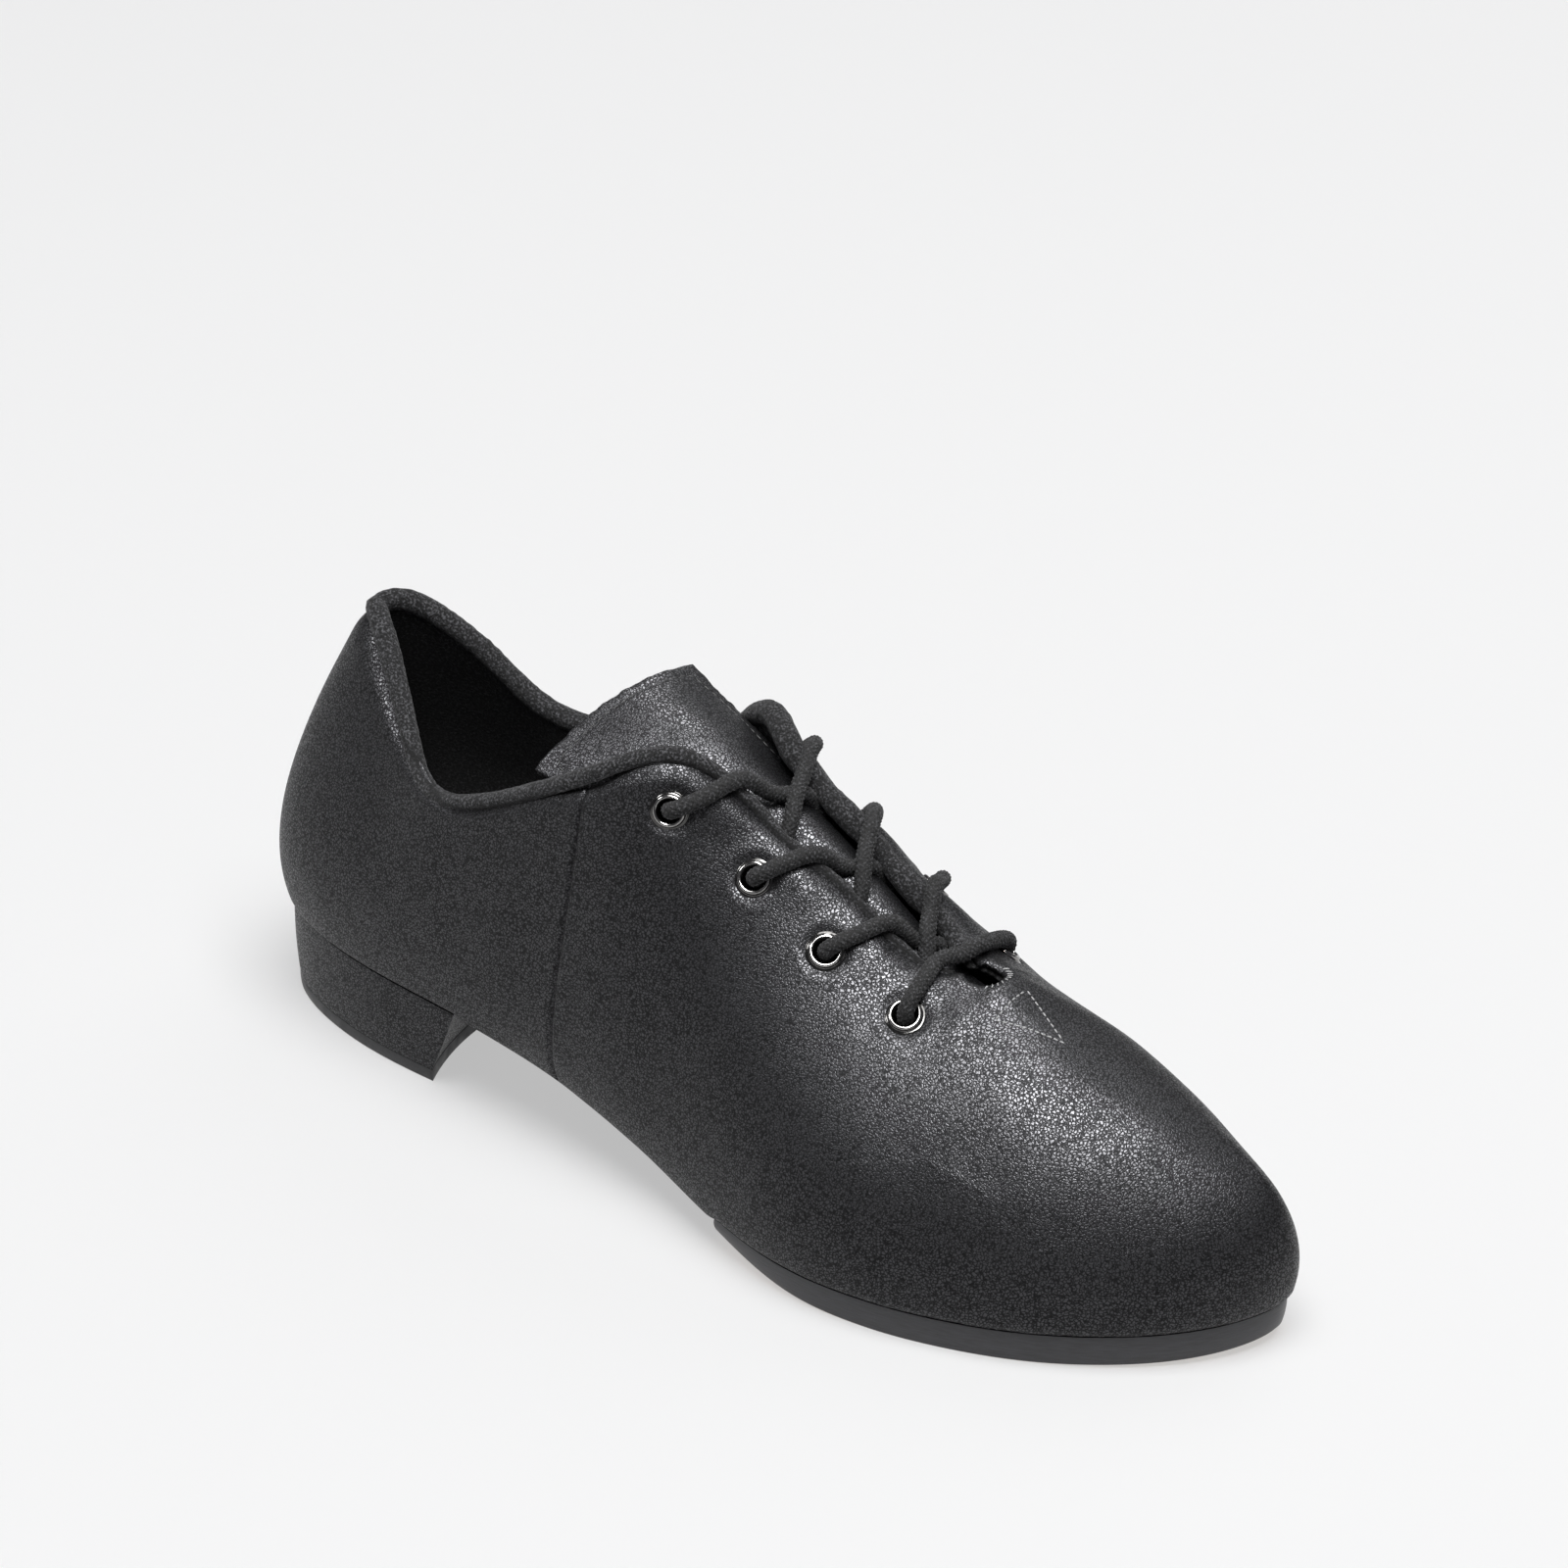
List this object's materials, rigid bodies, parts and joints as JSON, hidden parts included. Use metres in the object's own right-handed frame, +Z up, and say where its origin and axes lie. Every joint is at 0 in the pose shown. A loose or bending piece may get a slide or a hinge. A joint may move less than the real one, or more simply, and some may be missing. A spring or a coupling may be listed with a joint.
{
  "type": "lace-up dance shoe",
  "caption": "Low lace-up leather dance shoe for the right foot, with a split sole, a covered low heel, knit-bound edges and a loose tongue.",
  "frame": {"origin": "on the floor at the centre of the heel top lift, where the heel rests", "axes": "+X from the heel to the toe, +Y to the medial side of the foot, +Z up"},
  "size_m": [0.2611, 0.0868, 0.1067],
  "materials": {
    "black_leather": "fine pebbled black leather, satin",
    "lining_knit": "matt black brushed lining",
    "knit_binding": "matt black fleecy knit roll",
    "fibre_board": "fibre board and stiffener, matt",
    "cork": "pressed cork, matt",
    "sock_foam": "cloth-covered foam, matt",
    "sole_leather": "sole leather with an inked black edge, satin",
    "heel_cover": "black grained heel covering, satin",
    "rubber": "black rubber, matt",
    "nail_steel": "plain steel",
    "black_nickel": "black nickel plate, polished",
    "lace": "round braided cotton, matt"
  },
  "bodies": {
    "rear": {"heel_block": "heel_cover", "heel_top_lift": "rubber", "heel_insole_board": "fibre_board", "heel_filler": "cork", "heel_sock": "sock_foam", "heel_counter": "fibre_board", "back_quarter": "black_leather", "quarter_lining": "lining_knit", "collar_binding": "knit_binding", "heel_nail_1": "nail_steel", "heel_nail_2": "nail_steel", "heel_nail_3": "nail_steel", "heel_nail_4": "nail_steel", "heel_nail_5": "nail_steel"},
    "forefoot": {"vamp": "black_leather", "vamp_lining": "lining_knit", "facing_binding_lateral": "knit_binding", "facing_binding_medial": "knit_binding", "toe_puff": "fibre_board", "forefoot_insole_board": "fibre_board", "forefoot_filler": "cork", "forefoot_sock": "sock_foam", "forefoot_sole": "sole_leather", "shoelace": "lace", "eyelet_lateral_1": "black_nickel", "eyelet_lateral_2": "black_nickel", "eyelet_lateral_3": "black_nickel", "eyelet_lateral_4": "black_nickel", "eyelet_medial_1": "black_nickel", "eyelet_medial_2": "black_nickel", "eyelet_medial_3": "black_nickel", "eyelet_medial_4": "black_nickel"},
    "tongue_flap": {"tongue": "black_leather", "tongue_lining": "lining_knit"}
  },
  "joints": [
    {"name": "arch_flex", "type": "hinge", "parent": "rear", "child": "forefoot", "pos_m": [0.066, 0, 0.016], "axis": [0, 1, 0], "range_deg": [0, 20], "stiffness_Nm_per_rad": 1.2},
    {"name": "tongue_hinge", "type": "hinge", "parent": "forefoot", "child": "tongue_flap", "pos_m": [0.17, 0.0025, 0.052], "axis": [0, -1, 0], "range_deg": [0, 9], "stiffness_Nm_per_rad": 0.08}
  ]
}
